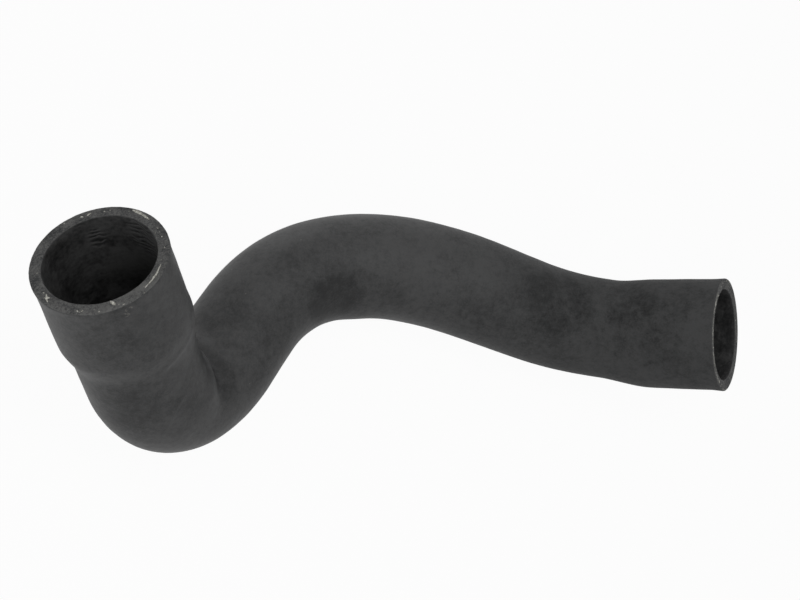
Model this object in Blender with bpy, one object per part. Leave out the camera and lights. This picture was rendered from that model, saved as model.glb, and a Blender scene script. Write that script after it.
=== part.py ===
# Moulded charge air hose: one piece of rubber with a straight cuff at each end
import math

import bmesh
import bpy
import numpy as np
from mathutils import Vector
from mathutils.geometry import interpolate_bezier

MM = 0.001

# Wall, and the bore at each mouth. A cuff is wider or narrower by its swell at its
# inner end, because its wrapping is drawn in at the slope.
WALL = 5.0 * MM
LARGE_BORE = 52.0 * MM
LARGE_CUFF_SWELL = 0.5 * MM
SMALL_BORE = 50.0 * MM
SMALL_CUFF_SWELL = -0.5 * MM

# Bore of the body at four places along it, which pressing and bending have made
# a little unlike. The arch, which is bent widest, is the narrowest.
TIGHT_BORE = 46.9 * MM
TIGHT_BORE_FROM_MOUTH = 85.0 * MM
ARCH_BORE = 44.2 * MM
ARCH_BORE_FROM_MOUTH = 200.0 * MM
MIDDLE_BORE = 46.4 * MM
MIDDLE_BORE_FROM_MOUTH = 305.0 * MM
EASY_BORE = 44.5 * MM
EASY_BORE_FROM_MOUTH = 400.0 * MM

# Straight cuffs that go over the pipes, and the slopes between cuff and body
LARGE_CUFF_LENGTH = 39.5 * MM
LARGE_SLOPE_LENGTH = 16.0 * MM
SMALL_CUFF_LENGTH = 39.0 * MM
SMALL_SLOPE_LENGTH = 26.0 * MM

# The cut ends. The ply springs open where it is cut, so the wall stands out a little
# and in a little there, and the cut's sharp edges are worn off.
CUT_SWELL_OUT = 0.35 * MM
CUT_SWELL_IN = 0.3 * MM
CUT_SWELL_LENGTH = 7.0 * MM
CUT_EDGE_BREAK = 0.4 * MM

# The route, given as a hose drawing gives it: a point at each mouth and at each corner
# of the straight runs, with its place along the floor, across the floor and in height.
# The corners lie low, so the middle rests on the floor and both ends rise from it.
LARGE_MOUTH_ALONG = -167.5 * MM
LARGE_MOUTH_ACROSS = 28.0 * MM
LARGE_MOUTH_HEIGHT = 130.8 * MM
TIGHT_CORNER_ALONG = -122.3 * MM
TIGHT_CORNER_ACROSS = -37.1 * MM
TIGHT_CORNER_HEIGHT = 26.5 * MM
ARCH_CORNER_ALONG = -25.8 * MM
ARCH_CORNER_ACROSS = 61.4 * MM
ARCH_CORNER_HEIGHT = 28.9 * MM
EASY_CORNER_ALONG = 122.9 * MM
EASY_CORNER_ACROSS = -14.8 * MM
EASY_CORNER_HEIGHT = 27.2 * MM
SMALL_MOUTH_ALONG = 173.8 * MM
SMALL_MOUTH_ACROSS = -36.5 * MM
SMALL_MOUTH_HEIGHT = 81.8 * MM
LARGE_MOUTH = Vector((LARGE_MOUTH_ALONG, LARGE_MOUTH_ACROSS, LARGE_MOUTH_HEIGHT))
TIGHT_CORNER = Vector((TIGHT_CORNER_ALONG, TIGHT_CORNER_ACROSS, TIGHT_CORNER_HEIGHT))
ARCH_CORNER = Vector((ARCH_CORNER_ALONG, ARCH_CORNER_ACROSS, ARCH_CORNER_HEIGHT))
EASY_CORNER = Vector((EASY_CORNER_ALONG, EASY_CORNER_ACROSS, EASY_CORNER_HEIGHT))
SMALL_MOUTH = Vector((SMALL_MOUTH_ALONG, SMALL_MOUTH_ACROSS, SMALL_MOUTH_HEIGHT))

# How much of the run before and after its corner each bend takes up, and how
# far its curve is pulled out towards the corner
TIGHT_RUN_IN = 50.8 * MM
TIGHT_RUN_OUT = 50.6 * MM
TIGHT_FULLNESS = 0.555
ARCH_RUN_IN = 64.8 * MM
ARCH_RUN_OUT = 103.1 * MM
ARCH_FULLNESS = 0.662
EASY_RUN_IN = 37.0 * MM
EASY_RUN_OUT = 42.3 * MM
EASY_FULLNESS = 0.578

# The fold on the inside of the tight bend, where the wall has more length than room.
# It is drawn in to a valley at the middle of the bend and stands out as a lip at the
# cuff's slope. Both fade to nothing at the reach, measured round the hose from the
# inside of the bend, and each has a width towards the large mouth and one away from it.
FOLD_REACH = math.radians(125)
VALLEY_FROM_MOUTH = 114.5 * MM
VALLEY_DEPTH = 4.0 * MM
VALLEY_WIDTH_BEFORE = 7.0 * MM
VALLEY_WIDTH_AFTER = 12.0 * MM
LIP_FROM_MOUTH = 51.0 * MM
LIP_HEIGHT = 2.8 * MM
LIP_WIDTH_BEFORE = 8.0 * MM
LIP_WIDTH_AFTER = 7.0 * MM

# Fineness of the surface. The rings of a valley or lip spread this many widths to each
# side of it, and a ring nearer to the last than this share of the spacing is left out.
SIDES = 36
ROUTE_POINTS_PER_BEND = 60
HEADING_REACH = 1.5 * MM
OUTSIDE_SPACING = 6.0 * MM
BORE_SPACING = 10.0 * MM
SLOPE_RINGS = 6
SWELL_RINGS = 3
HUMP_RINGS_A_SIDE = 4
HUMP_RING_SPREAD = 1.5
LEAST_GAP_SHARE = 1 / 3
SHARP_ANGLE = math.radians(35)

# Dull charcoal rubber
RUBBER_COLOUR = (0.030, 0.031, 0.032, 1.0)
RUBBER_ROUGHNESS = 0.72


def clear_scene():
    """Remove every object that the file already holds."""
    for item in list(bpy.data.objects):
        bpy.data.objects.remove(item, do_unlink=True)


def bend(before, corner, after, run_in, run_out, fullness):
    """Points of one bend, from where it leaves a straight run to where it joins the next."""
    arriving = (corner - before).normalized()
    leaving = (after - corner).normalized()
    start = corner - arriving * run_in
    end = corner + leaving * run_out
    start_handle = start + arriving * run_in * fullness
    end_handle = end - leaving * run_out * fullness
    return interpolate_bezier(start, start_handle, end_handle, end, ROUTE_POINTS_PER_BEND)


class Route:
    """The line through the middle of the hose, measured from the large mouth."""

    def __init__(self):
        tight = bend(LARGE_MOUTH, TIGHT_CORNER, ARCH_CORNER,
                     TIGHT_RUN_IN, TIGHT_RUN_OUT, TIGHT_FULLNESS)
        arch = bend(TIGHT_CORNER, ARCH_CORNER, EASY_CORNER,
                    ARCH_RUN_IN, ARCH_RUN_OUT, ARCH_FULLNESS)
        easy = bend(ARCH_CORNER, EASY_CORNER, SMALL_MOUTH,
                    EASY_RUN_IN, EASY_RUN_OUT, EASY_FULLNESS)
        points = [LARGE_MOUTH] + tight + arch + easy + [SMALL_MOUTH]
        self.points = np.array([list(point) for point in points])
        steps = np.linalg.norm(np.diff(self.points, axis=0), axis=1)
        self.travelled = np.concatenate(([0.0], np.cumsum(steps)))
        self.length = self.travelled[-1]
        self.bends = []
        first = 1
        for curve in (tight, arch, easy):
            last = first + len(curve) - 1
            self.bends.append((self.travelled[first], self.travelled[last]))
            first = last + 1

    def place(self, distance):
        """The point at this distance from the large mouth."""
        axes = range(3)
        return Vector([np.interp(distance, self.travelled, self.points[:, k]) for k in axes])

    def heading(self, distance):
        """The direction of the line at this distance."""
        ahead = self.place(min(distance + HEADING_REACH, self.length))
        behind = self.place(max(distance - HEADING_REACH, 0.0))
        return (ahead - behind).normalized()

    def stations(self, spacing):
        """Distances of the rings: close together on bends and slopes, few on straight runs."""
        small_slope_start = self.length - SMALL_CUFF_LENGTH - SMALL_SLOPE_LENGTH
        along_slope = np.linspace(0, 1, SLOPE_RINGS)
        along_swell = np.linspace(0, CUT_SWELL_LENGTH, SWELL_RINGS)[1:]
        away = np.linspace(0, HUMP_RING_SPREAD, HUMP_RINGS_A_SIDE)
        marks = []
        for start, end in self.bends:
            count = math.ceil((end - start) / spacing)
            marks.extend(np.linspace(start, end, count + 1))
        marks.extend(along_swell)
        marks.extend(self.length - along_swell)
        marks.extend(LARGE_CUFF_LENGTH + LARGE_SLOPE_LENGTH * along_slope)
        marks.extend(small_slope_start + SMALL_SLOPE_LENGTH * along_slope)
        marks.extend(VALLEY_FROM_MOUTH - VALLEY_WIDTH_BEFORE * away)
        marks.extend(VALLEY_FROM_MOUTH + VALLEY_WIDTH_AFTER * away)
        marks.extend(LIP_FROM_MOUTH - LIP_WIDTH_BEFORE * away)
        marks.extend(LIP_FROM_MOUTH + LIP_WIDTH_AFTER * away)
        inner_marks = thin_out(sorted(marks), spacing * LEAST_GAP_SHARE)
        break_ends = [self.length - CUT_EDGE_BREAK, self.length]
        return [0.0, CUT_EDGE_BREAK] + inner_marks + break_ends


def thin_out(marks, least_gap):
    """The sorted marks without those that crowd the one before."""
    kept = [marks[0]]
    for mark in marks[1:]:
        if mark - kept[-1] >= least_gap:
            kept.append(mark)
    return kept


def ease(share):
    """A smooth rise from 0 to 1."""
    share = min(max(share, 0.0), 1.0)
    return share * share * (3 - 2 * share)


def body_bore(distance):
    """Bore of the body, eased from each named place to the next."""
    places = (TIGHT_BORE_FROM_MOUTH, ARCH_BORE_FROM_MOUTH,
              MIDDLE_BORE_FROM_MOUTH, EASY_BORE_FROM_MOUTH)
    bores = (TIGHT_BORE, ARCH_BORE, MIDDLE_BORE, EASY_BORE)
    bore = bores[0]
    for place, following, start, end in zip(places, places[1:], bores, bores[1:]):
        bore += (end - start) * ease((distance - place) / (following - place))
    return bore


def plain_radius(distance, length):
    """Outside radius of the round hose: cuff, slope, body, slope, cuff."""
    from_small_mouth = length - distance
    large_bore = LARGE_BORE + LARGE_CUFF_SWELL * ease(distance / LARGE_CUFF_LENGTH)
    small_bore = SMALL_BORE + SMALL_CUFF_SWELL * ease(from_small_mouth / SMALL_CUFF_LENGTH)
    into_body = ease((distance - LARGE_CUFF_LENGTH) / LARGE_SLOPE_LENGTH)
    into_small_cuff = 1 - ease((from_small_mouth - SMALL_CUFF_LENGTH) / SMALL_SLOPE_LENGTH)
    bore = large_bore + (body_bore(distance) - large_bore) * into_body
    bore += (small_bore - bore) * into_small_cuff
    return bore / 2 + WALL


def hump(distance, middle, width_before, width_after):
    """A smooth hump of height 1, with its own width on each side of its middle."""
    width = width_before if distance < middle else width_after
    return math.exp(-((distance - middle) / width) ** 2)


def fold(distance, turn):
    """How far the wall is drawn in, at a turn away from the inside of the tight bend."""
    if abs(turn) >= FOLD_REACH:
        return 0.0
    valley = hump(distance, VALLEY_FROM_MOUTH, VALLEY_WIDTH_BEFORE, VALLEY_WIDTH_AFTER)
    lip = hump(distance, LIP_FROM_MOUTH, LIP_WIDTH_BEFORE, LIP_WIDTH_AFTER)
    around = math.cos(turn / FOLD_REACH * math.pi / 2) ** 2
    return (VALLEY_DEPTH * valley - LIP_HEIGHT * lip) * around


def edge_break(distance, length):
    """How much a cut edge is taken back at this distance: all of it at a mouth."""
    from_mouth = min(distance, length - distance)
    return max(0.0, CUT_EDGE_BREAK - from_mouth)


def cut_swell(distance, length):
    """Share of the swell at this distance: all of it at a mouth."""
    from_mouth = min(distance, length - distance)
    return 1 - ease(from_mouth / CUT_SWELL_LENGTH)


def outside_radius(distance, length, turn):
    """Radius of the outside, at a turn away from the inside of the tight bend."""
    full_radius = plain_radius(distance, length) - fold(distance, turn)
    full_radius += CUT_SWELL_OUT * cut_swell(distance, length)
    return full_radius - edge_break(distance, length)


def bore_radius(distance, length, turn):
    """Radius of the bore, one wall inside the outside."""
    full_radius = plain_radius(distance, length) - fold(distance, turn)
    full_radius -= CUT_SWELL_IN * cut_swell(distance, length)
    return full_radius - WALL + edge_break(distance, length)


def hoop(form, route, distance, side, radius):
    """One ring of points, square to the route, that starts at the given side."""
    centre = route.place(distance)
    across = route.heading(distance).cross(side)
    points = []
    for turn in np.linspace(0, 2 * math.pi, SIDES, endpoint=False):
        direction = side * math.cos(turn) + across * math.sin(turn)
        from_inside = min(turn, 2 * math.pi - turn)
        reach = radius(distance, route.length, from_inside)
        points.append(form.verts.new(centre + direction * reach))
    return points


def skin_hoops(form, route, spacing, radius):
    """Rings from mouth to mouth, whose first side is carried along without twist."""
    heading = route.heading(0.0)
    leaving = (ARCH_CORNER - TIGHT_CORNER).normalized()
    side = (leaving - heading * leaving.dot(heading)).normalized()
    hoops = []
    for distance in route.stations(spacing):
        turned = route.heading(distance)
        side.rotate(heading.rotation_difference(turned))
        hoops.append(hoop(form, route, distance, side, radius))
        heading = turned
    return hoops


def build_hose():
    """One closed skin: along the outside, over a cut end, back through the bore, over the other."""
    route = Route()
    form = bmesh.new()
    outside = skin_hoops(form, route, OUTSIDE_SPACING, outside_radius)
    bore = skin_hoops(form, route, BORE_SPACING, bore_radius)
    loop = outside + bore[::-1]
    for near, far in zip(loop, loop[1:] + loop[:1]):
        for count in range(SIDES):
            following = (count + 1) % SIDES
            form.faces.new((near[count], near[following], far[following], far[count]))
    bmesh.ops.recalc_face_normals(form, faces=form.faces)
    mesh = bpy.data.meshes.new("charge_air_hose")
    form.to_mesh(mesh)
    form.free()
    return mesh


def set_on_ground(mesh):
    """Centre the mesh over the origin with its lowest point at height zero."""
    corners = np.array([vertex.co[:] for vertex in mesh.vertices])
    low = corners.min(axis=0)
    high = corners.max(axis=0)
    shift = Vector((-(low[0] + high[0]) / 2, -(low[1] + high[1]) / 2, -low[2]))
    for vertex in mesh.vertices:
        vertex.co += shift


def rubber():
    """Dull black rubber."""
    material = bpy.data.materials.new("black_rubber")
    material.use_nodes = True
    shader = material.node_tree.nodes["Principled BSDF"]
    shader.inputs["Base Color"].default_value = RUBBER_COLOUR
    shader.inputs["Roughness"].default_value = RUBBER_ROUGHNESS
    shader.inputs["Metallic"].default_value = 0.0
    return material


def main():
    clear_scene()
    mesh = build_hose()
    set_on_ground(mesh)
    mesh.shade_smooth()
    mesh.set_sharp_from_angle(angle=SHARP_ANGLE)
    mesh.materials.append(rubber())
    hose = bpy.data.objects.new("charge_air_hose", mesh)
    bpy.context.collection.objects.link(hose)


main()
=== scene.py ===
# %% [markdown]
# # A moulded charge air hose
# This hose carries compressed air between two pipes in an engine bay. It is one piece
# of black rubber with a fabric ply in its wall, cured over a bent core. It has three
# unlike bends, a wider straight cuff at each end, and a fold on the inside of its
# tightest bend. Here it lies on a pale floor, at rest on its flat middle stretch.
# Lengths are in millimetres until a mesh is made, and Blender's own units are metres.

# %% Load the solid model
import math

import bmesh
import bpy
import numpy as np
from mathutils import Matrix, Vector, noise
from mathutils.geometry import interpolate_bezier


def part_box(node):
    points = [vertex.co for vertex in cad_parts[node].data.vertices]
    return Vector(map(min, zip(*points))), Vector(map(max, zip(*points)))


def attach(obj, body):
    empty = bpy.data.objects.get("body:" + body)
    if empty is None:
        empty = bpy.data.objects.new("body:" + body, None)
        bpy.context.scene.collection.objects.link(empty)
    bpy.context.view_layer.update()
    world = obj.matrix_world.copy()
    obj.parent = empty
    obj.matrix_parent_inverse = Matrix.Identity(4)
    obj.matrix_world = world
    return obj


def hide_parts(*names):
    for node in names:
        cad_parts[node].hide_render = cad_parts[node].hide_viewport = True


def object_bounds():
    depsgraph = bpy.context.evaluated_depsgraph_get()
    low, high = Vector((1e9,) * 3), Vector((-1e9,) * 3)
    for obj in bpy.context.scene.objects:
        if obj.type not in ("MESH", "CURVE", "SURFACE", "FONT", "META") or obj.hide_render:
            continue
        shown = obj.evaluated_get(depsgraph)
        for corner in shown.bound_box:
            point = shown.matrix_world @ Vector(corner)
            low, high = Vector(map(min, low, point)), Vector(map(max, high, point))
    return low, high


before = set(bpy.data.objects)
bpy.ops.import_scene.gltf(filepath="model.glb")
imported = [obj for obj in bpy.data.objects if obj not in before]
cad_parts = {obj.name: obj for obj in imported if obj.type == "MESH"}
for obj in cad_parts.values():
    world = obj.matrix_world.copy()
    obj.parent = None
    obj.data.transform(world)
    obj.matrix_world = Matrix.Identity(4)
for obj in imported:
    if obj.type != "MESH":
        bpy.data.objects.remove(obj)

MM = 0.001
solid_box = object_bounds()
print("solid model, mm:", [round(side / MM, 1) for side in solid_box[1] - solid_box[0]])

# %% [markdown]
# ## The camera
# The photograph looks down on the hose from above its large end. The lens and the place
# come from fitting the hose's outline and the two round mouths, so the camera is set by
# its own right, up and backward directions instead of being aimed by eye.

# %% Place the camera
CAMERA_PLACE = Vector((-333.61, -152.19, 793.08)) * MM
CAMERA_RIGHT = Vector((0.9067, -0.2064, 0.3678))
CAMERA_BACK = Vector((-0.4067, -0.1966, 0.8922))
LENS = 72.21
SENSOR = 36.0


def place_camera():
    """A camera with the photograph's lens, place and tilt."""
    right = CAMERA_RIGHT.normalized()
    back = (CAMERA_BACK - right * CAMERA_BACK.dot(right)).normalized()
    up = back.cross(right)
    camera_data = bpy.data.cameras.new("camera")
    camera_data.lens = LENS
    camera_data.sensor_width = SENSOR
    camera_data.clip_start = 0.05
    camera_data.clip_end = 20.0
    camera = bpy.data.objects.new("camera", camera_data)
    turned = Matrix((right, up, back)).transposed().to_4x4()
    camera.matrix_world = Matrix.Translation(CAMERA_PLACE) @ turned
    bpy.context.collection.objects.link(camera)
    bpy.context.scene.camera = camera
    return camera


camera = place_camera()
print("camera height, m:", round(camera.location.z, 3))

# %% [markdown]
# ## Sizes of the hose
# These are the sizes that the solid model is made from, in millimetres. A finer skin
# from the same values lies exactly where the solid lies, so the two can't disagree.

# %% Name the sizes
WALL = 5.0
LARGE_BORE = 52.0
LARGE_CUFF_SWELL = 0.5
SMALL_BORE = 50.0
SMALL_CUFF_SWELL = -0.5
BODY_BORES = (46.9, 44.2, 46.4, 44.5)
BODY_BORE_PLACES = (85.0, 200.0, 305.0, 400.0)
LARGE_CUFF_LENGTH = 39.5
LARGE_SLOPE_LENGTH = 16.0
SMALL_CUFF_LENGTH = 39.0
SMALL_SLOPE_LENGTH = 26.0
CUT_EDGE_BREAK = 0.4
CUT_SWELL_OUT = 0.35
CUT_SWELL_IN = 0.3
CUT_SWELL_LENGTH = 7.0

LARGE_MOUTH = Vector((-167.5, 28.0, 130.8))
TIGHT_CORNER = Vector((-122.3, -37.1, 26.5))
ARCH_CORNER = Vector((-25.8, 61.4, 28.9))
EASY_CORNER = Vector((122.9, -14.8, 27.2))
SMALL_MOUTH = Vector((173.8, -36.5, 81.8))
print("outside of the cuffs, mm:", LARGE_BORE + 2 * WALL, SMALL_BORE + 2 * WALL)

# %% [markdown]
# ## The route
# A hose drawing gives a point at each mouth and at each corner of the straight runs.
# A Bezier curve rounds each corner. It could be a plain arc, but a core is bent by hand
# and eye, and its curves tighten towards their middle, which the handles allow.

# %% Draw the route
BENDS = (
    (LARGE_MOUTH, TIGHT_CORNER, ARCH_CORNER, 50.8, 50.6, 0.555),
    (TIGHT_CORNER, ARCH_CORNER, EASY_CORNER, 64.8, 103.1, 0.662),
    (ARCH_CORNER, EASY_CORNER, SMALL_MOUTH, 37.0, 42.3, 0.578),
)
POINTS_PER_BEND = 400


def bend(before, corner, after, run_in, run_out, fullness):
    """Points of one bend, from the straight run before it to the one after."""
    arriving = (corner - before).normalized()
    leaving = (after - corner).normalized()
    start = corner - arriving * run_in
    end = corner + leaving * run_out
    start_handle = start + arriving * run_in * fullness
    end_handle = end - leaving * run_out * fullness
    return interpolate_bezier(start, start_handle, end_handle, end, POINTS_PER_BEND)


route_points = [LARGE_MOUTH]
for one_bend in BENDS:
    route_points += bend(*one_bend)
route_points = np.array([point[:] for point in route_points + [SMALL_MOUTH]])
route_steps = np.linalg.norm(np.diff(route_points, axis=0), axis=1)
route_distance = np.concatenate(([0.0], np.cumsum(route_steps)))
HOSE_LENGTH = route_distance[-1]
print("length along the middle, mm:", round(HOSE_LENGTH, 1))

# %% [markdown]
# ## Rings along the route
# The skin is made of rings, each square to the route. The first side of a ring is
# carried along from the ring before by the smallest turn that follows the route. A
# fixed upward direction would be simpler, but it flips where the route stands upright.

# %% Carry a direction along the route
SIDES = 192
HEADING_REACH = 1.5


def place_on_route(distance):
    """Points on the route at these distances from the large mouth."""
    axes = [np.interp(distance, route_distance, route_points[:, k]) for k in range(3)]
    return np.stack(axes, axis=-1)


def headings(distance):
    """Directions of the route at these distances."""
    ahead = place_on_route(np.minimum(distance + HEADING_REACH, HOSE_LENGTH))
    behind = place_on_route(np.maximum(distance - HEADING_REACH, 0.0))
    step = ahead - behind
    return step / np.linalg.norm(step, axis=1, keepdims=True)


def carried_sides(heading):
    """The first side of each ring, which starts on the inside of the tight bend."""
    first = Vector(heading[0])
    leaving = (ARCH_CORNER - TIGHT_CORNER).normalized()
    side = (leaving - first * leaving.dot(first)).normalized()
    sides = []
    before = first
    for row in heading:
        now = Vector(row)
        side.rotate(before.rotation_difference(now))
        sides.append(side[:])
        before = now
    return np.array(sides)


turns = np.linspace(0, 2 * math.pi, SIDES, endpoint=False)
from_inside = np.minimum(turns, 2 * math.pi - turns)
print("sides in a ring:", SIDES)

# %% [markdown]
# ## The section
# The section is round, wide in the cuffs and narrower in the body, with a smooth slope
# between. Circles could be scaled by hand along the route, but a formula for the radius
# keeps the true sizes of the outside and of the bore.

# %% Shape the outside
def ease(share):
    """A smooth rise from 0 to 1."""
    share = np.clip(share, 0.0, 1.0)
    return share * share * (3 - 2 * share)


def body_bore(distance):
    """Bore of the body, eased from each place to the next."""
    bore = BODY_BORES[0]
    for k in range(len(BODY_BORES) - 1):
        start, end = BODY_BORE_PLACES[k], BODY_BORE_PLACES[k + 1]
        step = BODY_BORES[k + 1] - BODY_BORES[k]
        bore = bore + step * ease((distance - start) / (end - start))
    return bore


def plain_radius(distance):
    """Outside radius of cuff, slope, body, slope and cuff."""
    from_small_mouth = HOSE_LENGTH - distance
    large_bore = LARGE_BORE + LARGE_CUFF_SWELL * ease(distance / LARGE_CUFF_LENGTH)
    small_bore = SMALL_BORE + SMALL_CUFF_SWELL * ease(from_small_mouth / SMALL_CUFF_LENGTH)
    into_body = ease((distance - LARGE_CUFF_LENGTH) / LARGE_SLOPE_LENGTH)
    into_small_cuff = 1 - ease((from_small_mouth - SMALL_CUFF_LENGTH) / SMALL_SLOPE_LENGTH)
    bore = large_bore + (body_bore(distance) - large_bore) * into_body
    bore = bore + (small_bore - bore) * into_small_cuff
    return bore / 2 + WALL


along_body = np.linspace(0, HOSE_LENGTH, 200)
print("radii, mm:", plain_radius(along_body).min(), "to", plain_radius(along_body).max())

# %% [markdown]
# ## The fold
# On the inside of the tight bend the ply has nowhere to go: the wall is drawn in to a
# valley at the middle of the bend, and stands out as a lip where the cuff's slope meets
# it. At each cut end the wall has sprung open a little. The fold could be sculpted, but
# smooth humps on the radius match the solid outside and in the bore alike.

# %% Fold the wall
VALLEY_PLACE = 114.5
VALLEY_DEPTH = 4.0
VALLEY_WIDTH_BEFORE = 7.0
VALLEY_WIDTH_AFTER = 12.0
FOLD_REACH = math.radians(125)
LIP_PLACE = 51.0
LIP_HEIGHT = 2.8
LIP_WIDTH_BEFORE = 8.0
LIP_WIDTH_AFTER = 7.0


def hump(distance, middle, width_before, width_after):
    """A smooth hump of height 1, with its own width on each side."""
    width = np.where(distance < middle, width_before, width_after)
    return np.exp(-(((distance - middle) / width) ** 2))


def fold(distance, turn):
    """How far the wall is drawn in: above 0 at the valley, below 0 at the lip."""
    around = np.cos(np.clip(turn / FOLD_REACH, 0, 1) * math.pi / 2) ** 2
    valley = hump(distance, VALLEY_PLACE, VALLEY_WIDTH_BEFORE, VALLEY_WIDTH_AFTER)
    lip = hump(distance, LIP_PLACE, LIP_WIDTH_BEFORE, LIP_WIDTH_AFTER)
    return (VALLEY_DEPTH * valley - LIP_HEIGHT * lip) * around


def cut_swell(distance):
    """How far the wall has sprung open: 1 at a cut end and 0 further in."""
    from_mouth = np.minimum(distance, HOSE_LENGTH - distance)
    return 1 - ease(from_mouth / CUT_SWELL_LENGTH)


print("fold, mm: valley", round(float(fold(VALLEY_PLACE, 0.0)), 2),
      "and lip", round(float(-fold(LIP_PLACE, 0.0)), 2))

# %% [markdown]
# ## One closed skin
# The rings run along the outside, over the small cut end, back through the bore and over
# the large cut end to where they began. A tube with a Solidify modifier would look much
# the same, but this way each ring knows where it is in the wall, and the finishes use it.

# %% Lay out the rows of rings
FINE_REACH = 100.0
FINE_SPACING = 1.0
OUTSIDE_SPACING = 1.8
BORE_SPACING = 3.4
EDGE_ROWS = 4
CUT_ROWS = (0.13, 0.22, 0.32, 0.43, 0.54, 0.65, 0.76, 0.87)


def rounded_edge(rows):
    """Shares of the edge break taken back, and distances in, along a small round."""
    angles = np.linspace(0, math.pi / 2, rows)
    return 1 - np.sin(angles), 1 - np.cos(angles)


def skin_rows():
    """Distance along, and share of the way in through the wall, of each ring."""
    back, along = rounded_edge(EDGE_ROWS)
    edge = CUT_EDGE_BREAK / WALL
    fine = np.arange(CUT_EDGE_BREAK, FINE_REACH, FINE_SPACING)
    count = round((HOSE_LENGTH - FINE_REACH) / OUTSIDE_SPACING)
    plain = np.linspace(FINE_REACH, HOSE_LENGTH - CUT_EDGE_BREAK, count)
    outside = np.concatenate((fine, plain))
    count = round(HOSE_LENGTH / BORE_SPACING)
    bore = np.linspace(HOSE_LENGTH - CUT_EDGE_BREAK, CUT_EDGE_BREAK, count)
    rows = []
    # the outside, from the large cut end to the small one
    for share, reach in zip(back, along):
        rows.append((reach * CUT_EDGE_BREAK, share * edge))
    rows += [(distance, 0.0) for distance in outside[1:-1]]
    for share, reach in zip(back[::-1], along[::-1]):
        rows.append((HOSE_LENGTH - reach * CUT_EDGE_BREAK, share * edge))
    # over the small cut end
    rows += [(HOSE_LENGTH, share) for share in CUT_ROWS]
    # back through the bore
    for share, reach in zip(back, along):
        rows.append((HOSE_LENGTH - reach * CUT_EDGE_BREAK, 1 - share * edge))
    rows += [(distance, 1.0) for distance in bore[1:-1]]
    for share, reach in zip(back[::-1], along[::-1]):
        rows.append((reach * CUT_EDGE_BREAK, 1 - share * edge))
    # over the large cut end
    rows += [(0.0, share) for share in CUT_ROWS[::-1]]
    return np.array(rows)


rows = skin_rows()
row_distance, row_share = rows[:, 0], rows[:, 1]
print("rings:", len(rows), "triangles:", 2 * len(rows) * SIDES)

# %% [markdown]
# ## Every point of the plain skin
# A point lies on its ring, at its turn, at a radius less its way in through the wall.
# All points are worked out at once as one table of numbers, which is quick and lets the
# later steps add their own small heights to the radius before the mesh is made.

# %% Place every point of the plain skin
def ring_directions():
    """Heading, first side and second side of every ring."""
    heading = headings(row_distance)
    order = np.argsort(row_distance, kind="stable")
    side = np.empty_like(heading)
    side[order] = carried_sides(heading[order])
    return heading, side, np.cross(heading, side)


def cut_radius(distance, share):
    """Outside radius less the way in through the wall, sprung open at a cut end."""
    swell = CUT_SWELL_OUT - (CUT_SWELL_OUT + CUT_SWELL_IN) * share
    return plain_radius(distance) - share * WALL + cut_swell(distance) * swell


def skin_points(radius, along):
    """Points of all rings, as rows by sides by three, in millimetres."""
    outward = (side[:, None, :] * np.cos(turns)[None, :, None]
               + across[:, None, :] * np.sin(turns)[None, :, None])
    middle = place_on_route(row_distance)[:, None, :]
    return middle + outward * radius[:, :, None] + heading[:, None, :] * along[:, :, None]


heading, side, across = ring_directions()
every_distance, every_share = row_distance[:, None], row_share[:, None]
radius = cut_radius(every_distance, every_share) - fold(every_distance, from_inside[None, :])
plain_points = skin_points(radius, np.zeros_like(radius))
print("lowest point, mm:", round(plain_points[..., 2].min(), 2))

# %% [markdown]
# ## Its seat on the solid
# The plain skin is centred on the solid's box and stands on the same floor. The shift is
# found before the small signs of handwork are added, so that they can't move the hose.

# %% Find the shift to the solid
def shift_to_solid(points):
    """The way from these points to the solid's place, in millimetres."""
    low, high = points.min(axis=(0, 1)), points.max(axis=(0, 1))
    solid_low, solid_high = (np.array(corner[:]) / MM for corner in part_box("charge_air_hose"))
    shift = (solid_low + solid_high - low - high) / 2
    shift[2] = solid_low[2] - low[2]
    return shift


shift = shift_to_solid(plain_points)
floor_height = solid_box[0].z / MM
print("shift, mm:", shift.round(3))

# %% [markdown]
# ## Signs of handwork
# The ply is wrapped by hand and the rubber creeps while it cures, so the outside is never
# quite true: it has long soft waves and short ripples. On the inside of the middle bend
# the ply gathers: a shallow hollow on the flank, and a low swelling beside it. Two fine
# creases run out from the fold. Soft noise gives the waves. A Displace modifier could
# too, but all of this is easier to place by distance and turn.

# %% Raise waves, ripples and the gather
WAVE_HEIGHT, WAVE_LENGTH = 0.20, 24.0
RIPPLE_HEIGHT, RIPPLE_LENGTH = 0.07, 7.0
HOLLOW_DEPTH, SWELLING_HEIGHT = 1.3, 0.9
# distance along, turn in degrees, half length in mm and spread in degrees
HOLLOW = (229.0, 84.0, 19.0, 24.0)
SWELLING = (247.0, 126.0, 13.0, 24.0)
CREASES = (
    # height in mm, distance and turn where it starts and ends, half width in mm
    (0.55, 47.6, 66.0, 54.5, 120.0, 2.0),
    (0.40, 76.0, 94.0, 87.0, 124.0, 2.6),
)
CREASE_OVERRUN, CREASE_FADE = 0.15, 0.4


def soft_noise(places, length):
    """Smooth noise from -1 to 1 at these points, with humps about this long."""
    flat = (places.reshape(-1, 3) / length).tolist()
    return np.array([noise.noise(place) for place in flat]).reshape(places.shape[:2])


def soft_patch(distance, turn_degrees, length, spread_degrees):
    """A soft round patch of height 1, at this distance and turn."""
    along = hump(every_distance, distance, length, length)
    away = (turns - math.radians(turn_degrees) + math.pi) % (2 * math.pi) - math.pi
    return along * np.exp(-((away / math.radians(spread_degrees)) ** 2))[None, :]


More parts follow.
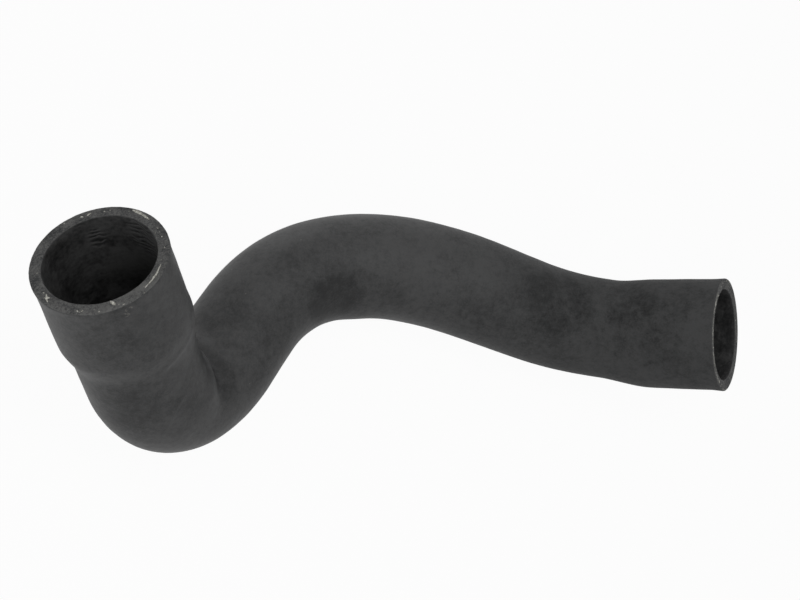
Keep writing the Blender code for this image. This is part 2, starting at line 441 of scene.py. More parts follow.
def crease(height, start, turn_start, end, turn_end, half_width):
    """A low ridge that runs round the hose and a little along it."""
    share = (turns - math.radians(turn_start)) / math.radians(turn_end - turn_start)
    middle = start + (end - start) * np.clip(share, 0, 1) ** 2
    fade_in = ease((share + CREASE_OVERRUN) / CREASE_FADE)
    fade_out = ease((1 + CREASE_OVERRUN - share) / CREASE_FADE)
    off = (every_distance - middle[None, :]) / half_width
    return height * np.exp(-(off ** 2)) * (fade_in * fade_out)


uneven = (WAVE_HEIGHT * soft_noise(plain_points, WAVE_LENGTH)
          + RIPPLE_HEIGHT * soft_noise(plain_points, RIPPLE_LENGTH))
gather = (SWELLING_HEIGHT * soft_patch(*SWELLING) - HOLLOW_DEPTH * soft_patch(*HOLLOW))
handwork = uneven + gather + sum(crease(*values) for values in CREASES)
radius = radius + handwork
print("handwork, mm:", handwork.min().round(2), "to", handwork.max().round(2))

# %% [markdown]
# ## The cut ends
# A long blank is cut to length with a knife that drags: the face is rough, its edges are
# a little frayed, and the small end is cupped. The large end's lower edge is worn round.
# All of this is a shift along the hose, and a much smaller one outward at the edges. It
# could be sculpted by hand, but noise gives the same cut at each run.

# %% Roughen the cut ends
CUT_ROUGHNESS = ((0.16, 2.6), (0.10, 1.3))
ROUGH_FROM, ROUGH_TO = 0.1, 0.9
FRAY = 0.12
FRAY_LENGTH = 1.5
FRAY_REACH = 1.2
CUP_OUT = 0.30
CUP_IN = -0.05
CUP_REACH = 8.0
WORN_BACK = 0.9
WORN_TURN = 158.0
WORN_REACH = 5.0
WORN_SHARE = 0.45


def cup(distance, share):
    """How far the small cut end stands out at its outer edge and sinks at its inner one."""
    near_end = 1 - ease((HOSE_LENGTH - distance) / CUP_REACH)
    return near_end * (CUP_OUT + (CUP_IN - CUP_OUT) * share)


def worn(distance, share):
    """How far the large end's outer edge is rounded back, on its lower side."""
    near_end = 1 - ease(distance / WORN_REACH)
    around = 0.5 + 0.5 * np.cos(turns - math.radians(WORN_TURN))
    near_edge = np.clip(1 - share / WORN_SHARE, 0, 1)
    return WORN_BACK * near_end * near_edge ** 2 * around[None, :] ** 2


on_cut = (every_share > ROUGH_FROM) & (every_share < ROUGH_TO)
rough = sum(height * soft_noise(plain_points, length) for height, length in CUT_ROUGHNESS)
at_edge = 1 - ease(np.minimum(every_distance, HOSE_LENGTH - every_distance) / FRAY_REACH)
radius = radius + FRAY * soft_noise(plain_points, FRAY_LENGTH) * at_edge
along = cup(every_distance, every_share) + worn(every_distance, every_share)
along = along + np.where(on_cut, rough, 0.0)
points = skin_points(radius, along) + shift
points[..., 2] = np.maximum(points[..., 2], floor_height)
print("shown skin, mm:", (points.max(axis=(0, 1)) - points.min(axis=(0, 1))).round(1))

# %% [markdown]
# ## The mesh
# Each quad joins two points of one ring to two of the next, and the last ring joins the
# first, so the skin is closed like the real rubber. A spun or bevelled curve would give
# quads too, but not a wall with an inside. Each row of quads takes one of three finishes.

# %% Turn the points into a mesh
OUTSIDE, CUT, BORE = range(3)
OUTSIDE_UP_TO, BORE_FROM = 0.03, 0.97


def skin_mesh(points):
    """A closed quad mesh, each quad joining two rings."""
    count = len(points)
    row, turn = np.meshgrid(np.arange(count), np.arange(SIDES), indexing="ij")
    next_row, next_turn = (row + 1) % count, (turn + 1) % SIDES
    corners = (row * SIDES + turn, row * SIDES + next_turn,
               next_row * SIDES + next_turn, next_row * SIDES + turn)
    faces = np.stack(corners, axis=-1).reshape(-1, 4)
    mesh = bpy.data.meshes.new("moulded_hose")
    mesh.from_pydata((points.reshape(-1, 3) * MM).tolist(), [], faces.tolist())
    mesh.shade_smooth()
    return mesh


def finish_of_rows():
    """Which finish each row of quads takes: outside, cut end or bore."""
    middle_share = (row_share + np.roll(row_share, -1)) / 2
    inner = np.where(middle_share > BORE_FROM, BORE, CUT)
    return np.where(middle_share < OUTSIDE_UP_TO, OUTSIDE, inner)


hose_mesh = skin_mesh(points)
hose = bpy.data.objects.new("moulded_hose", hose_mesh)
bpy.context.collection.objects.link(hose)
finish_of_quads = np.repeat(finish_of_rows(), SIDES).astype(np.int32)
hose_mesh.polygons.foreach_set("material_index", finish_of_quads)
print("faces:", len(hose_mesh.polygons))

# %% [markdown]
# ## Where a point is on the hose
# A finish has to know how far along the hose it is and how far round. Each point keeps
# this as one named value: the distance, and the turn as a cosine and a sine, because an
# angle would jump from full circle to zero at one seam.

# %% Write the named value on the mesh
def keep_on_mesh(mesh, name, values):
    """Store three numbers a point under one name."""
    layer = mesh.attributes.new(name, "FLOAT_VECTOR", "POINT")
    layer.data.foreach_set("vector", values.astype(np.float32).ravel())


every_row = np.repeat(np.arange(len(rows)), SIDES)
every_turn = np.tile(turns, len(rows))
keep_on_mesh(hose_mesh, "place_on_hose", np.stack(
    (row_distance[every_row], np.cos(every_turn), np.sin(every_turn)), axis=-1))
print("named value:", hose_mesh.attributes["place_on_hose"].name)

# %% [markdown]
# ## A small language for finishes
# A finish is a network of nodes. This class stands for one output of a node, and plain
# arithmetic on it adds the Math nodes, so a finish reads as a formula. The nodes could be
# laid out by hand in the Shader Editor, but a formula is easier to read again, and to
# change, than dozens of boxes and the lines between them.

# %% Write the wires
class Wire:
    """One output of a node, on which plain arithmetic adds Math nodes."""

    def __init__(self, finish, socket):
        self.finish = finish
        self.socket = socket

    def maths(self, operation, *values):
        inputs = dict(enumerate(values))
        return self.finish.node("Math", {"operation": operation}, inputs)

    def __add__(self, other):
        return self.maths("ADD", self, other)

    def __radd__(self, other):
        return self.maths("ADD", other, self)

    def __sub__(self, other):
        return self.maths("SUBTRACT", self, other)

    def __rsub__(self, other):
        return self.maths("SUBTRACT", other, self)

    def __mul__(self, other):
        return self.maths("MULTIPLY", self, other)

    def __rmul__(self, other):
        return self.maths("MULTIPLY", other, self)

    def __truediv__(self, other):
        return self.maths("DIVIDE", self, other)

    def __rtruediv__(self, other):
        return self.maths("DIVIDE", other, self)

    def sine(self):
        return self.maths("SINE", self)

    def lesser(self, other):
        return self.maths("MINIMUM", self, other)

    def sharpened(self, low, high):
        """A smooth step: 0 below low, 1 above high."""
        settings = {"interpolation_type": "SMOOTHSTEP"}
        inputs = {"Value": self, "From Min": low, "From Max": high}
        return self.finish.node("MapRange", settings, inputs)


print("class ready:", Wire.__doc__)

# %% [markdown]
# ## A finish being made
# Every surface of the hose gets a material with a network of its own. This class holds
# the material, and one method of it adds any node. Each kind of node could have its own
# function, but with one method they are all added in the same way.

# %% Write the finish
class Finish:
    """A material being built, with one way to add any node."""

    def __init__(self, name, **constants):
        self.material = bpy.data.materials.new(name)
        self.material.use_nodes = True
        self.tree = self.material.node_tree
        self.shader = self.tree.nodes["Principled BSDF"]
        for socket, value in constants.items():
            self.shader.inputs[socket.replace("_", " ")].default_value = value

    def plug(self, socket, value):
        """Link a wire to a socket, or set the socket to a plain value."""
        if isinstance(value, Wire):
            self.tree.links.new(value.socket, socket)
        else:
            socket.default_value = value

    def node(self, kind, settings, inputs, output=0):
        """Add a node: its settings first, then its sockets."""
        made = self.tree.nodes.new("ShaderNode" + kind)
        for name, value in settings.items():
            setattr(made, name, value)
        for name, value in inputs.items():
            self.plug(made.inputs[name], value)
        return Wire(self, made.outputs[output])

    def noise(self, place, scale, detail, roughness):
        """Soft noise from 0 to 1, around a half. The scale is in features a metre."""
        inputs = {"Vector": place, "Scale": scale, "Detail": detail, "Roughness": roughness}
        return self.node("TexNoise", {}, inputs, "Fac")

    def blend(self, share, first, second):
        """A colour between two colours."""
        inputs = {"Factor": share, 6: first, 7: second}
        return self.node("Mix", {"data_type": "RGBA"}, inputs, 2)

    def bump(self, height, strength):
        """A normal bent by a height in metres."""
        inputs = {"Strength": strength, "Distance": 1.0, "Height": height}
        return self.node("Bump", {}, inputs, "Normal")

    def surface(self, **wires):
        """Feed the shader's own sockets."""
        for socket, value in wires.items():
            self.plug(self.shader.inputs[socket.replace("_", " ")], value)


print("class ready:", Finish.__doc__)

# %% [markdown]
# ## Places on the hose
# Some marks sit where this one hose has them, such as a scuff by the large cut end and
# the dull patches. Patches of painted shade are placed the same way, by the fold and in
# the middle bend's hollow. A painted picture could hold them, but it would blur from
# close by.
# The values on the mesh tell a finish where each point is, so a mark is given by its
# distance and turn, and fades softly round them.

# %% Find places for marks
SPOT_CORE = 0.3


def hose_place(finish):
    """Distance along the hose, and the cosine and sine of the turn, as three wires."""
    kept = finish.node("Attribute", {"attribute_name": "place_on_hose"}, {}, "Vector")
    return [finish.node("SeparateXYZ", {}, {"Vector": kept}, axis) for axis in "XYZ"]


def spot(where, distance, turn_degrees, reach, spread_degrees):
    """1 at one place on the hose, falling to 0 at its reach along and round."""
    turn = math.radians(turn_degrees)
    facing = where[1] * math.cos(turn) + where[2] * math.sin(turn)
    off_turn = (1 - facing) / (1 - math.cos(math.radians(spread_degrees)))
    off_distance = (where[0] - distance) / reach
    return 1 - (off_distance * off_distance + off_turn).sharpened(SPOT_CORE, 1.0)


print("share of a spot's reach that stays full:", round(SPOT_CORE ** 0.5, 2))

# %% [markdown]
# ## Dust
# A little pale dust lies on the rubber. A few specks are at known places, and the rest
# are strewn by a cell texture, with one speck at most in a cell. Real grains could be
# strewn as geometry, but dust this thin has no height that can be seen.

# %% Strew the dust
DUST_CELLS = 75.0
DUST_SIZE, DUST_EDGE = 0.075, 0.03
DUST_CHANCE = (0.55, 0.95)
# distance along, turn in degrees
DUST_SPECKS = ((85.0, 40.0), (188.7, 336.0), (180.6, 12.7), (217.5, 3.5), (142.0, 75.0))
SPECK_REACH, SPECK_SPREAD = 0.6, 1.3


def dust(finish, place, where):
    """Specks of dust: a few at known places and many small ones anywhere."""
    cell = {"Vector": place, "Scale": DUST_CELLS, "Randomness": 1.0}
    off = finish.node("TexVoronoi", {}, cell, "Distance")
    # the grey of a cell's random colour decides whether it holds a speck
    lot = finish.node("TexVoronoi", {}, cell, "Color")
    size = DUST_SIZE * lot.sharpened(*DUST_CHANCE)
    specks = (size - off).sharpened(0.0, DUST_EDGE)
    for distance, turn in DUST_SPECKS:
        specks = specks + spot(where, distance, turn, SPECK_REACH, SPECK_SPREAD)
    return specks


print("dust specks at known places:", len(DUST_SPECKS))

# %% [markdown]
# ## The outside of the rubber
# Cured black rubber is dull and never one flat colour. It has a grey bloom in soft
# patches and small blots, a fine grain from the wrapping that held it while it cured, a
# little dust, and a scuff by the large cut end. The small end is the duller one. Noise
# alone would spread this evenly, so broad patches sit where this hose has them. Three
# of the darker patches are painted shade, not tone of the rubber: beside the fold of
# the tight bend, on the fold's far flank, and in the hollow inside the middle bend.
# The blots and the grain also feed a bump, because they are a real unevenness.

# %% Make the outside finish
BLOOM_DARK = (0.0040, 0.0043, 0.0046, 1.0)
BLOOM_LIGHT = (0.0800, 0.0808, 0.0812, 1.0)
# scale, detail and roughness of each noise
PATCHES, BLOTS = (34.0, 2.0, 0.5), (120.0, 3.0, 0.6)
MARKS, GRAIN = (330.0, 3.0, 0.65), (1100.0, 2.0, 0.6)
# each one's share in the tone, and its height in metres in the bump
PATCH_SHARE, BLOT_SHARE, MARK_SHARE, GRAIN_SHARE = 0.27, 0.28, 0.28, 0.17
BLOT_HEIGHT, MARK_HEIGHT, GRAIN_HEIGHT = 0.00020, 0.00018, 0.00009
TONE_LIFT, SMALL_END_LIFT = 0.070, 0.052
TONE_RANGE = (0.36, 0.72)
SMALL_END_RISE = (240.0, 430.0)
OUTSIDE_ROUGHNESS, BLOT_ROUGHNESS, SMALL_END_ROUGHNESS = 0.46, 0.20, 0.30
TONE_AND_SHADE_PATCHES = (
    # how much lighter, distance along, turn in degrees, reach along, spread in degrees
    (0.054, 285.0, 42.0, 48.0, 62.0), (0.010, 213.0, 5.0, 38.0, 48.0),
    # the second patch here is painted shade, in the hollow inside the middle bend
    (-0.115, 363.0, 38.0, 30.0, 48.0), (-0.120, 222.0, 86.0, 25.0, 40.0),
    (-0.090, 414.0, 22.0, 22.0, 42.0), (-0.050, 76.0, 146.0, 36.0, 54.0),
    # both patches here are painted shade, beside the fold of the tight bend and on its far flank
    (-0.095, 81.0, 70.0, 24.0, 44.0), (-0.095, 121.0, 46.0, 16.0, 40.0),
)
DUST_COLOUR = (0.20, 0.195, 0.18, 1.0)
DUST_SHARE = 0.6
# distance along, turn in degrees, reach along, spread in degrees
SCUFFS = ((3.4, 119.5, 2.2, 4.0), (6.0, 122.5, 1.8, 3.4))
SCUFF_SHARE = 0.8
SCUFF_MARKS = (0.44, 0.54)


def rubber_outside():
    finish = Finish("rubber_outside", IOR=1.5, Specular_IOR_Level=0.34)
    place = finish.node("TexCoord", {}, {}, "Object")
    where = hose_place(finish)
    patches, blots = finish.noise(place, *PATCHES), finish.noise(place, *BLOTS)
    marks, grain = finish.noise(place, *MARKS), finish.noise(place, *GRAIN)
    small_end = where[0].sharpened(*SMALL_END_RISE)
    tone = PATCH_SHARE * patches + BLOT_SHARE * blots + MARK_SHARE * marks + GRAIN_SHARE * grain
    tone = tone + TONE_LIFT + SMALL_END_LIFT * small_end
    # lighter and darker patches of tone; three of the darker ones are painted shade by the fold
    # and in the hollow
    for amount, distance, turn, reach, spread in TONE_AND_SHADE_PATCHES:
        tone = tone + amount * spot(where, distance, turn, reach, spread)
    colour = finish.blend(tone.sharpened(*TONE_RANGE), BLOOM_DARK, BLOOM_LIGHT)
    scuffs = [spot(where, *scuff) * marks.sharpened(*SCUFF_MARKS) for scuff in SCUFFS]
    colour = finish.blend(dust(finish, place, where) * DUST_SHARE, colour, DUST_COLOUR)
    colour = finish.blend((scuffs[0] + scuffs[1]) * SCUFF_SHARE, colour, DUST_COLOUR)
    height = grain * GRAIN_HEIGHT + marks * MARK_HEIGHT + blots * BLOT_HEIGHT
    matt = SMALL_END_ROUGHNESS * small_end
    roughness = OUTSIDE_ROUGHNESS + BLOT_ROUGHNESS * blots + matt
    finish.surface(Base_Color=colour, Roughness=roughness, Normal=finish.bump(height, 0.7))
    return finish.material


outside_finish = rubber_outside()
hose_mesh.materials.append(outside_finish)
print("finish:", outside_finish.name)

# %% [markdown]
# ## The cut rubber
# Cut rubber scatters more light than the skin: it is a speckled grey, with crumbs of
# rubber and the smallest broken fibres of the ply as fine pale dots. A picture could
# give the speckle, but noise has no edge or grain of its own from any distance.

# %% Make the finish of the cut ends
CUT_DARK = (0.045, 0.046, 0.048, 1.0)
CUT_LIGHT = (0.175, 0.175, 0.170, 1.0)
FIBRE_COLOUR = (0.34, 0.335, 0.30, 1.0)
CUT_PATCHES, SPECKLE = (140.0, 2.0, 0.5), (800.0, 3.0, 0.7)
CRUMBS = (2100.0, 2.0, 0.6)
CUT_PATCH_SHARE, SPECKLE_SHARE, CRUMB_SHARE = 0.3, 0.4, 0.3
SPECKLE_HEIGHT, CRUMB_HEIGHT = 0.00030, 0.00012
CUT_RANGE = (0.39, 0.61)
CUT_LIFT = 0.05
# distance along, turn in degrees, reach along, spread in degrees
CUT_PALE_SPOT = (0.0, 125.0, 6.0, 50.0)
FIBRE_CELLS = 620.0
FIBRE_CHANCE = (0.70, 0.92)
FIBRE_SIZE, FIBRE_EDGE, FIBRE_SHARE = 0.34, 0.1, 0.7


def rubber_cut():
    finish = Finish("rubber_cut", Roughness=0.85, Specular_IOR_Level=0.3)
    place = finish.node("TexCoord", {}, {}, "Object")
    patches = finish.noise(place, *CUT_PATCHES)
    speckle = finish.noise(place, *SPECKLE)
    crumbs = finish.noise(place, *CRUMBS)
    tone = CUT_PATCH_SHARE * patches + SPECKLE_SHARE * speckle + CRUMB_SHARE * crumbs
    tone = tone + CUT_LIFT * spot(hose_place(finish), *CUT_PALE_SPOT)
    colour = finish.blend(tone.sharpened(*CUT_RANGE), CUT_DARK, CUT_LIGHT)
    fibre = {"Vector": place, "Scale": FIBRE_CELLS, "Randomness": 1.0}
    off = finish.node("TexVoronoi", {}, fibre, "Distance")
    lot = finish.node("TexVoronoi", {}, fibre, "Color")
    dots = (FIBRE_SIZE * lot.sharpened(*FIBRE_CHANCE) - off).sharpened(0.0, FIBRE_EDGE)
    colour = finish.blend(dots * FIBRE_SHARE, colour, FIBRE_COLOUR)
    height = speckle * SPECKLE_HEIGHT + crumbs * CRUMB_HEIGHT
    finish.surface(Base_Color=colour, Normal=finish.bump(height, 0.8))
    return finish.material


cut_finish = rubber_cut()
hose_mesh.materials.append(cut_finish)
print("finish:", cut_finish.name)

# %% [markdown]
# ## The bore
# The bore was cured against the core. It is smoother and darker, and near a mouth the
# ply shows through the thin inner rubber as wavy ridges that run round the hose. They
# are too low to change the outline of anything, so a sine of the distance, bent a little
# by noise, draws them in the tone and the bump instead of in the mesh. Further in from
# each mouth the tone is darkened as painted shade, where little light reaches.

# %% Make the bore finish
BORE_DARK = (0.010, 0.0102, 0.0104, 1.0)
BORE_LIGHT = (0.080, 0.0802, 0.0800, 1.0)
BORE_PATCHES, WAVER = (90.0, 2.0, 0.5), (160.0, 2.0, 0.5)
BORE_GRAIN = (420.0, 3.0, 0.65)
BORE_RANGE = (0.28, 0.70)
BORE_PATCH_SHARE, BORE_GRAIN_SHARE, RIDGE_SHARE = 0.45, 0.55, 0.25
RIDGE_HEIGHT, BORE_GRAIN_HEIGHT, WAVER_HEIGHT = 0.00020, 0.00012, 0.0002
RIDGE_PITCH, RIDGE_WAVER = 2.6, 16
# distance along, turn in degrees, reach along, spread in degrees
RIDGED_SPOTS = ((10.0, 12.0, 15.0, 28.0), (13.0, 312.0, 8.0, 10.0))
PALE_BORE_SPOTS = ((6.0, 60.0, 36.0, 85.0), (42.0, 336.0, 28.0, 40.0))
RIDGED_STRENGTHS = (1.0, 0.7)
RIDGED_EVERYWHERE = 0.08
PALE_BORE_LIFT, RIDGED_LIFT = 0.16, 0.08
# painted shade: the depths from the nearer mouth over which the bore is darkened, and by how much
DEEP, PAINTED_DEEP_SHADE = (18.0, 62.0), 0.11
SMALL_BORE_RISE, SMALL_BORE_FALL = (400.0, 440.0), 0.08
BORE_ROUGHNESS, BORE_PATCH_ROUGHNESS = 0.42, 0.3


def rubber_bore():
    finish = Finish("rubber_bore", IOR=1.5, Specular_IOR_Level=0.35)
    place = finish.node("TexCoord", {}, {}, "Object")
    where = hose_place(finish)
    patches = finish.noise(place, *BORE_PATCHES)
    waver = finish.noise(place, *WAVER)
    grain = finish.noise(place, *BORE_GRAIN)
    depth = where[0].lesser(HOSE_LENGTH - where[0])
    ridged = sum(strength * spot(where, *ridged_spot)
                 for strength, ridged_spot in zip(RIDGED_STRENGTHS, RIDGED_SPOTS))
    ridges = (where[0] * (2 * math.pi / RIDGE_PITCH) + waver * RIDGE_WAVER).sine()
    ridges = ridges * (ridged + RIDGED_EVERYWHERE)
    tone = patches * BORE_PATCH_SHARE + grain * BORE_GRAIN_SHARE + ridges * RIDGE_SHARE
    tone = tone + RIDGED_LIFT * ridged
    # lighter patches on the bore wall near the large mouth
    for pale_bore_spot in PALE_BORE_SPOTS:
        tone = tone + PALE_BORE_LIFT * spot(where, *pale_bore_spot)
    # painted shade deep in the bore, darker the further in from the nearer mouth
    tone = tone - PAINTED_DEEP_SHADE * depth.sharpened(*DEEP)
    tone = tone - SMALL_BORE_FALL * where[0].sharpened(*SMALL_BORE_RISE)
    colour = finish.blend(tone.sharpened(*BORE_RANGE), BORE_DARK, BORE_LIGHT)
    height = ridges * RIDGE_HEIGHT + grain * BORE_GRAIN_HEIGHT + waver * WAVER_HEIGHT
    roughness = BORE_ROUGHNESS + BORE_PATCH_ROUGHNESS * patches
    finish.surface(Base_Color=colour, Roughness=roughness, Normal=finish.bump(height, 0.8))
    return finish.material


bore_finish = rubber_bore()
hose_mesh.materials.append(bore_finish)
print("finish:", bore_finish.name)

# %% [markdown]
# ## The yarns of the ply
# Where the knife crossed the ply, yarn ends stand out of the cut face as pale tufts, and
# here and there a yarn lies along the cut as a bright line. They could be strewn at
# random, but the brightest ones can be told apart, so each is listed by the place of its
# two ends and by its thickness.

# %% List the yarns
LARGE_CUT_YARNS = (
    # turn from and to in degrees, share of the wall from and to, thickness in mm
    (190.0, 198.6, 0.26, 0.66, 1.05), (191.8, 196.0, 0.64, 0.34, 1.10),
    (200.4, 202.0, 0.62, 0.56, 0.75), (128.2, 131.4, 0.38, 0.96, 1.35),
    (127.6, 130.6, 0.50, 0.80, 1.10), (304.4, 307.2, 0.44, 0.52, 0.75),
    (310.6, 314.4, 0.55, 0.40, 1.05), (289.0, 290.4, 0.32, 0.26, 0.45),
    (325.6, 327.2, 0.52, 0.46, 0.45), (331.0, 332.2, 0.40, 0.44, 0.40),
    (351.5, 362.5, 0.22, 0.32, 1.70), (360.0, 372.5, 0.30, 0.42, 1.10),
    (25.7, 27.3, 0.53, 0.47, 0.50), (37.4, 38.8, 0.46, 0.54, 0.50),
    (51.2, 52.8, 0.52, 0.46, 0.60), (71.5, 98.0, 0.50, 0.40, 0.90),
    (96.0, 99.5, 0.44, 0.36, 0.60), (159.2, 160.9, 0.24, 0.36, 0.62),
    (155.4, 156.8, 0.36, 0.24, 0.62), (157.5, 158.6, 0.20, 0.22, 0.35),
    (141.0, 142.8, 0.12, 0.10, 0.35), (120.6, 122.8, 0.14, 0.11, 0.30),
)
SMALL_CUT_YARNS = (
    # the same five numbers
    (6.0, 37.0, 0.44, 0.38, 0.55), (38.0, 70.0, 0.40, 0.46, 0.34),
    (71.0, 101.0, 0.42, 0.50, 0.36), (101.0, 125.0, 0.50, 0.42, 0.36),
    (5.8, 10.2, 0.76, 0.56, 0.95), (21.8, 26.4, 0.56, 0.44, 0.95),
    (15.0, 20.5, 0.46, 0.40, 0.42), (53.0, 54.9, 0.60, 0.40, 0.65),
    (72.2, 74.3, 0.64, 0.42, 0.75), (88.4, 89.8, 0.50, 0.42, 0.42),
    (122.3, 124.9, 0.60, 0.38, 0.90), (140.8, 143.2, 0.20, 0.08, 0.85),
    (319.0, 320.6, 0.16, 0.08, 0.50), (323.5, 325.0, 0.10, 0.16, 0.45),
    (328.5, 330.0, 0.30, 0.22, 0.50), (313.0, 314.4, 0.20, 0.14, 0.45),
    (343.0, 345.0, 0.34, 0.28, 0.50), (350.0, 352.0, 0.56, 0.48, 0.45),
    (150.0, 151.6, 0.20, 0.12, 0.50), (156.8, 158.4, 0.10, 0.16, 0.45),
    (131.0, 133.0, 0.36, 0.28, 0.50), (135.4, 136.8, 0.60, 0.52, 0.40),
    (305.4, 306.6, 0.32, 0.28, 0.40), (256.3, 257.8, 0.74, 0.66, 0.45),
    (231.4, 232.8, 0.34, 0.26, 0.45),
)
print("yarns on the cut ends:", len(LARGE_CUT_YARNS), "and", len(SMALL_CUT_YARNS))

# %% [markdown]
# ## The line of one yarn
# A yarn lies in the rough cut face and is never quite straight. It could be a curve drawn
# by hand, but here its points are found on the same cupped end as those of the skin, so
# it can't float or sink.

# %% Follow a yarn over the cut end
STRAND_STEP = 0.7
STRAND_WAVER = 0.05
# the rings that lie on the two cut ends
LARGE_END, SMALL_END = 0, int(np.argmax(row_distance))


def on_cut_end(row, turn, share):
    """A point on a cut end."""
    distance = row_distance[row]
    outward = side[row] * math.cos(turn) + across[row] * math.sin(turn)
    middle = place_on_route(distance) + heading[row] * cup(distance, share)
    return middle + outward * cut_radius(distance, share) + shift


def yarn_path(row, turn_from, turn_to, share_from, share_to, thickness):
    """Points of one yarn on a cut end, a little wavy."""
    arc = math.radians(turn_to - turn_from) * cut_radius(row_distance[row], 0.5)
    count = max(4, round(math.hypot(arc, (share_to - share_from) * WALL) / STRAND_STEP))
    places = []
    for step in range(count + 1):
        along = step / count
        turn = math.radians(turn_from + (turn_to - turn_from) * along)
        share = share_from + (share_to - share_from) * along
        # its own turn, share and thickness make each yarn waver in its own way
        waver = noise.noise((turn * 14, share * 5, thickness * 9))
        places.append(on_cut_end(row, turn, share + STRAND_WAVER * waver))
    return places


print("points in the first yarn:", len(yarn_path(LARGE_END, *LARGE_CUT_YARNS[0])))

# %% [markdown]
# ## The strands
# A yarn end is a small tuft of fibres, half sunk in the rubber. Painted dots would do
# from afar, but a tuft also stands proud of the face and casts a small shadow. So each
# yarn is a thin strand of its own, lumpy, and tapered at both ends.

# %% Lay the strands on the cut ends
STRAND_SIDES = 6
STRAND_LUMPS, LUMPS_PER_MM = 0.35, 1.3
STRAND_TIP = 0.3
STRAND_FLATNESS = 0.7
STRAND_LIFT = 0.06


def add_strand(places, outward, thickness, vertices, faces):
    """A thin strand, tapered at both ends, whose middle lies in the face."""
    first, last = len(vertices), len(places) - 1
    for k, place in enumerate(places):
        ahead = places[min(k + 1, last)] - places[max(k - 1, 0)]
        sideways = np.cross(ahead, outward)
        sideways /= np.linalg.norm(sideways)
        lump = 1 + STRAND_LUMPS * noise.noise((place * LUMPS_PER_MM).tolist())
        taper = STRAND_TIP + (1 - STRAND_TIP) * math.sin(math.pi * k / last)
        strand_radius = thickness / 2 * lump * taper
        for n in range(STRAND_SIDES):
            angle = 2 * math.pi * n / STRAND_SIDES
            ring = sideways * math.cos(angle) + outward * math.sin(angle) * STRAND_FLATNESS
            vertices.append(place + outward * STRAND_LIFT + ring * strand_radius)
    for k in range(last):
        ring_start = first + k * STRAND_SIDES
        for n in range(STRAND_SIDES):
            a, b = ring_start + n, ring_start + (n + 1) % STRAND_SIDES
            faces.append((a, b, b + STRAND_SIDES, a + STRAND_SIDES))
    faces.append(tuple(first + n for n in range(STRAND_SIDES)))
    faces.append(tuple(first + last * STRAND_SIDES + n for n in range(STRAND_SIDES)))


def lay_yarns():
    """All yarns of both cut ends as one piece."""
    vertices, faces = [], []
    for row, outward, yarns in ((LARGE_END, -heading[LARGE_END], LARGE_CUT_YARNS),
                                (SMALL_END, heading[SMALL_END], SMALL_CUT_YARNS)):
        for yarn in yarns:
            add_strand(yarn_path(row, *yarn), outward, yarn[-1], vertices, faces)
    mesh = bpy.data.meshes.new("ply_yarns")
    mesh.from_pydata((np.array(vertices) * MM).tolist(), [], faces)
    form = bmesh.new()
    form.from_mesh(mesh)
    bmesh.ops.recalc_face_normals(form, faces=form.faces)
    form.to_mesh(mesh)
    form.free()
    mesh.shade_smooth()
    yarns = bpy.data.objects.new("ply_yarns", mesh)
    bpy.context.collection.objects.link(yarns)
    return yarns


yarns = lay_yarns()
print("yarn faces:", len(yarns.data.polygons))

# %% [markdown]
# ## The finish of the yarns
# Raw yarn is off-white and fibrous, and stained grey here and there by the rubber. Fine
# noise between two pale colours shows that, and a small bump breaks up the highlights.

# %% Make the yarn finish
YARN_STAINED = (0.30, 0.29, 0.25, 1.0)
YARN_CLEAN = (0.80, 0.79, 0.72, 1.0)
FIBRES, FIBRE_HEIGHT = (900.0, 2.0, 0.6), 0.0002
FIBRE_RANGE = (0.35, 0.6)


def pale_yarn():
    finish = Finish("pale_yarn", Roughness=0.8)
    place = finish.node("TexCoord", {}, {}, "Object")
    fibres = finish.noise(place, *FIBRES)
    colour = finish.blend(fibres.sharpened(*FIBRE_RANGE), YARN_STAINED, YARN_CLEAN)
    finish.surface(Base_Color=colour, Normal=finish.bump(fibres * FIBRE_HEIGHT, 0.5))
    return finish.material


yarns.data.materials.append(pale_yarn())
print("finish:", yarns.data.materials[0].name)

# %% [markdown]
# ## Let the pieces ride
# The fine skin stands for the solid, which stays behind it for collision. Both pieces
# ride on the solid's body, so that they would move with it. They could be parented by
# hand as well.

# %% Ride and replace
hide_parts("charge_air_hose")
for piece in (hose, yarns):
    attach(piece, "root")
print("pieces:", hose.name, yarns.name)

# %% [markdown]
# ## The floor
# The photograph has a white ground with no edge and next to no shadow. A plain white
# floor would need far more light to look white, and the hose would lose its tones. So
# the floor shows itself to the camera almost as pure white by a glow that lights nothing
# else, and keeps a trace of the hose's shadow, so that the hose doesn't float.

# %% Lay the floor
FLOOR_HALF = 3.0
FLOOR_COLOUR = (0.86, 0.86, 0.86, 1.0)
SHADOW_SHARE = 0.04


def seen_by_eye(finish):
    """1 for rays that show the surroundings: straight, mirrored or through glass."""
    kinds = ("Is Camera Ray", "Is Glossy Ray", "Is Transmission Ray")
    rays = [finish.node("LightPath", {}, {}, kind) for kind in kinds]
    return rays[0] + rays[1] + rays[2]


def white_floor():
    finish = Finish("white_floor", Base_Color=FLOOR_COLOUR, Roughness=0.9, Specular_IOR_Level=0.0)
    glow = finish.node("Emission", {}, {"Color": (1, 1, 1, 1), "Strength": 1.0})
    share = seen_by_eye(finish) * (1 - SHADOW_SHARE)
    matt = Wire(finish, finish.shader.outputs[0])
    mixed = finish.node("MixShader", {}, {0: share, 1: matt, 2: glow})
    output = finish.tree.nodes["Material Output"]
    finish.plug(output.inputs["Surface"], mixed)
    return finish.material


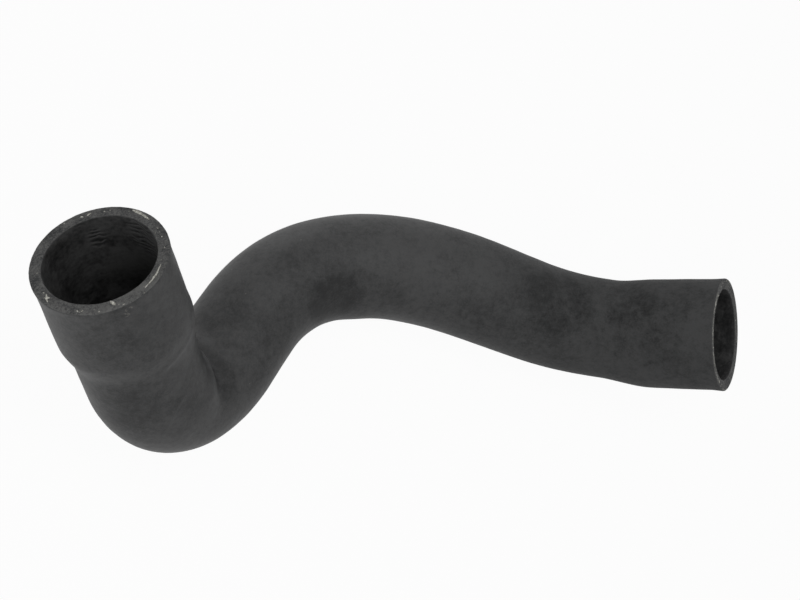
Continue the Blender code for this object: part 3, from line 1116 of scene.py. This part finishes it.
def lay_floor():
    mesh = bpy.data.meshes.new("floor")
    form = bmesh.new()
    bmesh.ops.create_grid(form, x_segments=1, y_segments=1, size=FLOOR_HALF)
    form.to_mesh(mesh)
    form.free()
    mesh.materials.append(white_floor())
    floor = bpy.data.objects.new("floor", mesh)
    floor.location.z = solid_box[0].z
    bpy.context.collection.objects.link(floor)
    return floor


floor = lay_floor()
print("floor side, m:", 2 * FLOOR_HALF)

# %% [markdown]
# ## The lights
# A white surround gives the even base. One large soft light hangs above. A second one
# shines down into the large mouth, a small one from the left lights the cuff's near side,
# and a weak low one behind draws the bright line along the top of the arch.

# %% Hang the lights
WORLD_LIGHT = 0.20
SOFTBOXES = (
    # name, place and side in metres, watts
    ("top_light", (0, 0, 1.5), 0.6, 4.0),
    ("mouth_light", (-0.60, -0.36, 1.00), 0.4, 0.55),
    ("near_left_light", (-0.5, -0.24, 0.30), 0.35, 0.45),
    ("back_light", (-0.02, 0.50, 0.06), 0.2, 0.25),
)


def hang_softbox(name, place, side, watts):
    """A square soft light that faces the hose."""
    lamp = bpy.data.lights.new(name, "AREA")
    lamp.shape = "SQUARE"
    lamp.size = side
    lamp.energy = watts
    softbox = bpy.data.objects.new(name, lamp)
    softbox.location = place
    softbox.rotation_euler = (-Vector(place)).to_track_quat("-Z", "Y").to_euler()
    bpy.context.collection.objects.link(softbox)
    return softbox


class Surroundings(Finish):
    """The world's own nodes, added in the same way as a finish."""

    def __init__(self, name):
        self.material = bpy.data.worlds.new(name)
        self.material.use_nodes = True
        self.tree = self.material.node_tree
        self.shader = self.tree.nodes["Background"]


def white_surroundings(strength):
    """A white world whose light is weaker than it looks."""
    studio = Surroundings("studio")
    bpy.context.scene.world = studio.material
    studio.shader.inputs["Color"].default_value = (1, 1, 1, 1)
    studio.surface(Strength=strength + (1 - strength) * seen_by_eye(studio))


white_surroundings(WORLD_LIGHT)
softboxes = [hang_softbox(*values) for values in SOFTBOXES]
print("lights:", [softbox.name for softbox in softboxes])

# %% [markdown]
# ## The end
# The last step sets the view transform to Standard.

# %% Set the view transform
bpy.context.scene.view_settings.view_transform = "Standard"
